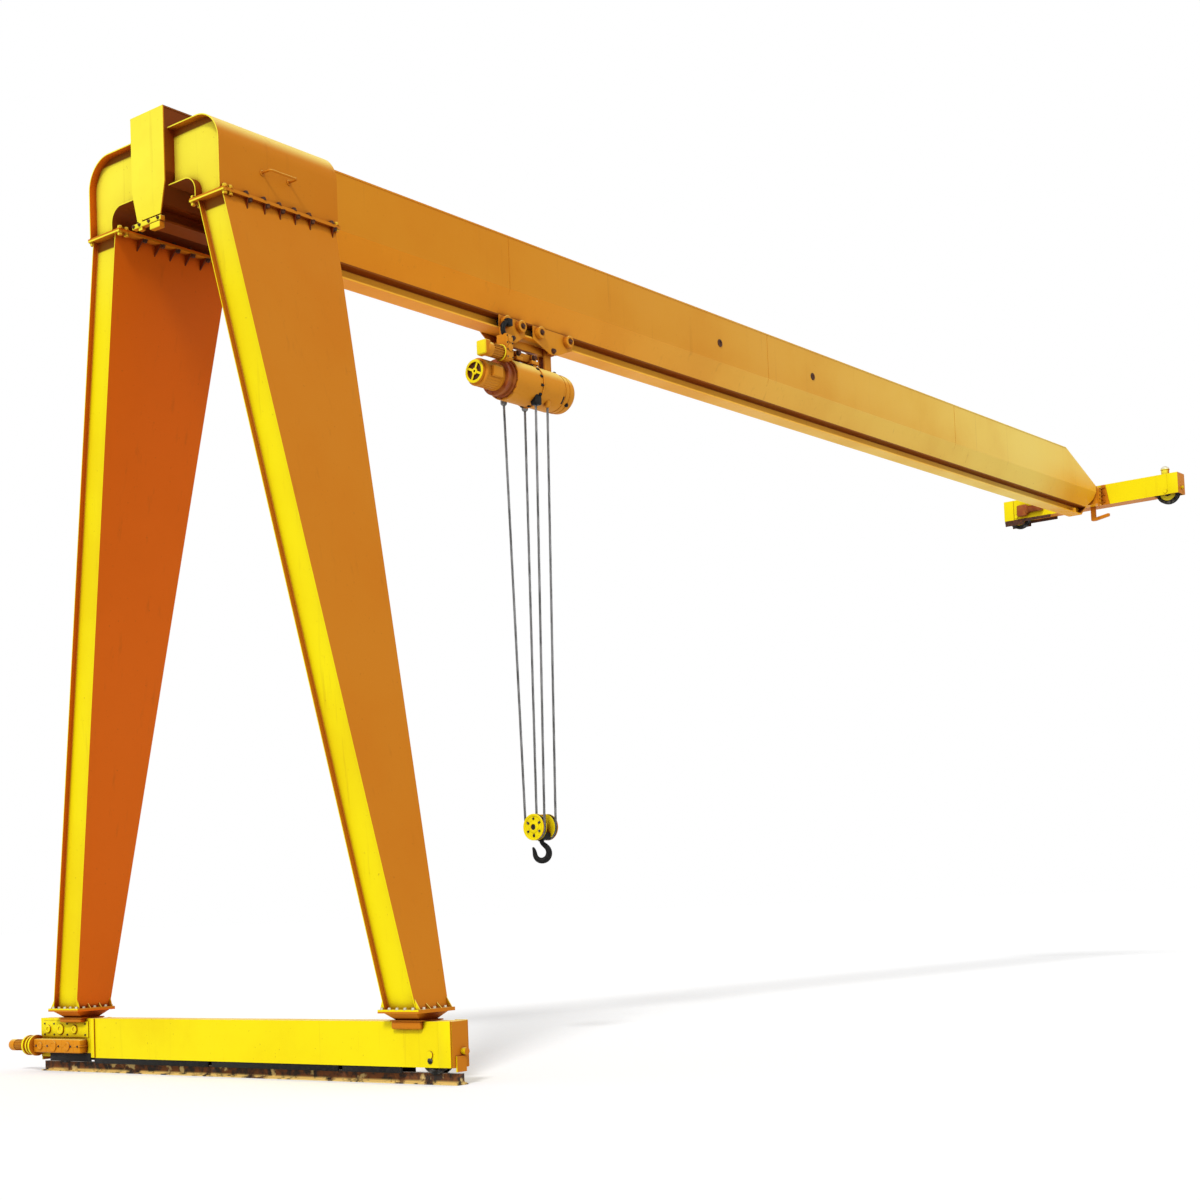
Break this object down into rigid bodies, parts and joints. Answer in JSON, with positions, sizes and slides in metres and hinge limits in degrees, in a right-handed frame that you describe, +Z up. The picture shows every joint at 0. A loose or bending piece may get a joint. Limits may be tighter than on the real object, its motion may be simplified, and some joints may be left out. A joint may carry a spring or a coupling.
{
  "type": "semi-gantry crane",
  "caption": "Semi-gantry crane with splayed legs on a rail carriage, a box girder with an I-section track, a high end truck and a travelling wire-rope hoist with a swivel hook.",
  "frame": {"origin": "middle of the ground rail's foot, under the girder's centre line", "axes": "+X along the girder from the legs to the end truck, +Y across it to the left, +Z up"},
  "size_m": [26.887, 8.01, 11.537],
  "materials": {
    "yellow_paint": "gloss lemon-yellow enamel",
    "amber_paint": "gloss amber enamel",
    "casing_paint": "hammered amber enamel",
    "motor_paint": "satin brown enamel",
    "bare_steel": "turned and oiled",
    "rail_steel": "rolled, lightly rusted",
    "black_iron": "black, forged",
    "rope_steel": "greased wire"
  },
  "bodies": {
    "crane_frame": {"ground_rail": "rail_steel", "carriage_beam": "yellow_paint", "carriage_wheel_boxes": "yellow_paint", "carriage_bearing_caps": "bare_steel", "carriage_buffers": "yellow_paint", "rail_sweepers": "yellow_paint", "carriage_reducer": "amber_paint", "carriage_motor": "motor_paint", "left_leg_sides": "amber_paint", "left_leg_faces": "yellow_paint", "right_leg_sides": "amber_paint", "right_leg_faces": "yellow_paint", "foot_flanges": "yellow_paint", "head_flanges": "yellow_paint", "pedestals": "amber_paint", "left_shoulder_skin": "amber_paint", "right_shoulder_skin": "amber_paint", "shoulder_faces": "yellow_paint", "shoulder_bases": "amber_paint", "girder_top_plate": "amber_paint", "girder_near_web": "amber_paint", "girder_far_web": "amber_paint", "girder_near_end": "yellow_paint", "girder_far_end": "amber_paint", "track_beam": "amber_paint", "track_stops": "amber_paint", "truck_beam": "yellow_paint", "truck_bearing_caps": "bare_steel", "truck_buffers": "yellow_paint", "truck_motor": "yellow_paint", "collector_bracket": "yellow_paint"},
    "trolley": {"trolley_plates": "casing_paint", "trolley_hangers": "casing_paint", "travel_motor": "yellow_paint", "travel_gearbox": "casing_paint", "hoist_motor": "casing_paint", "hoist_neck": "black_iron", "hoist_casing": "casing_paint", "hoist_drum": "bare_steel", "hoist_gearbox": "casing_paint", "hoist_ropes": "rope_steel"},
    "hook_block": {"block_sheaves": "bare_steel", "block_covers": "yellow_paint", "block_rope_turns": "rope_steel", "block_yoke": "black_iron"},
    "hook": {"hook": "black_iron"},
    "carriage_wheel_right": {"carriage_wheel_right": "bare_steel"},
    "carriage_wheel_left": {"carriage_wheel_left": "bare_steel"},
    "truck_wheel_right": {"truck_wheel_right": "bare_steel"},
    "truck_wheel_left": {"truck_wheel_left": "bare_steel"},
    "trolley_wheels_first": {"trolley_wheels_first": "bare_steel"},
    "trolley_wheels_second": {"trolley_wheels_second": "bare_steel"},
    "trolley_wheels_third": {"trolley_wheels_third": "bare_steel"},
    "trolley_wheels_fourth": {"trolley_wheels_fourth": "bare_steel"}
  },
  "joints": [
    {"name": "trolley_travel", "type": "slide", "parent": "crane_frame", "child": "trolley", "axis": [1, 0, 0], "range_m": [-3.2, 17.3]},
    {"name": "hook_lift", "type": "slide", "parent": "trolley", "child": "hook_block", "axis": [0, 0, 1], "range_m": [-2.35, 5.2], "deforming": ["hoist_ropes"]},
    {"name": "hook_swivel", "type": "hinge", "parent": "hook_block", "child": "hook", "pos_m": [5.79, 0, 2.905], "axis": [0, 0, 1], "continuous": true},
    {"name": "carriage_wheel_right_turn", "type": "hinge", "parent": "crane_frame", "child": "carriage_wheel_right", "pos_m": [0, -3.32, 0.3253], "axis": [1, 0, 0], "continuous": true},
    {"name": "carriage_wheel_left_turn", "type": "hinge", "parent": "crane_frame", "child": "carriage_wheel_left", "pos_m": [0, 3.32, 0.3253], "axis": [1, 0, 0], "continuous": true},
    {"name": "truck_wheel_right_turn", "type": "hinge", "parent": "crane_frame", "child": "truck_wheel_right", "pos_m": [25.69, -1.8, 10.562], "axis": [1, 0, 0], "continuous": true},
    {"name": "truck_wheel_left_turn", "type": "hinge", "parent": "crane_frame", "child": "truck_wheel_left", "pos_m": [25.69, 1.8, 10.562], "axis": [1, 0, 0], "continuous": true},
    {"name": "trolley_wheels_first_turn", "type": "hinge", "parent": "trolley", "child": "trolley_wheels_first", "pos_m": [5.2, 0, 10.2953], "axis": [0, 1, 0], "continuous": true},
    {"name": "trolley_wheels_second_turn", "type": "hinge", "parent": "trolley", "child": "trolley_wheels_second", "pos_m": [5.52, 0, 10.2953], "axis": [0, 1, 0], "continuous": true},
    {"name": "trolley_wheels_third_turn", "type": "hinge", "parent": "trolley", "child": "trolley_wheels_third", "pos_m": [5.95, 0, 10.2953], "axis": [0, 1, 0], "continuous": true},
    {"name": "trolley_wheels_fourth_turn", "type": "hinge", "parent": "trolley", "child": "trolley_wheels_fourth", "pos_m": [6.6, 0, 10.2953], "axis": [0, 1, 0], "continuous": true}
  ],
  "couplings": [
    {"joint": "trolley_wheels_first_turn", "follows": "trolley_travel", "rad_per_m": 13.333},
    {"joint": "trolley_wheels_second_turn", "follows": "trolley_travel", "rad_per_m": 13.333},
    {"joint": "trolley_wheels_third_turn", "follows": "trolley_travel", "rad_per_m": 13.333},
    {"joint": "trolley_wheels_fourth_turn", "follows": "trolley_travel", "rad_per_m": 13.333}
  ]
}
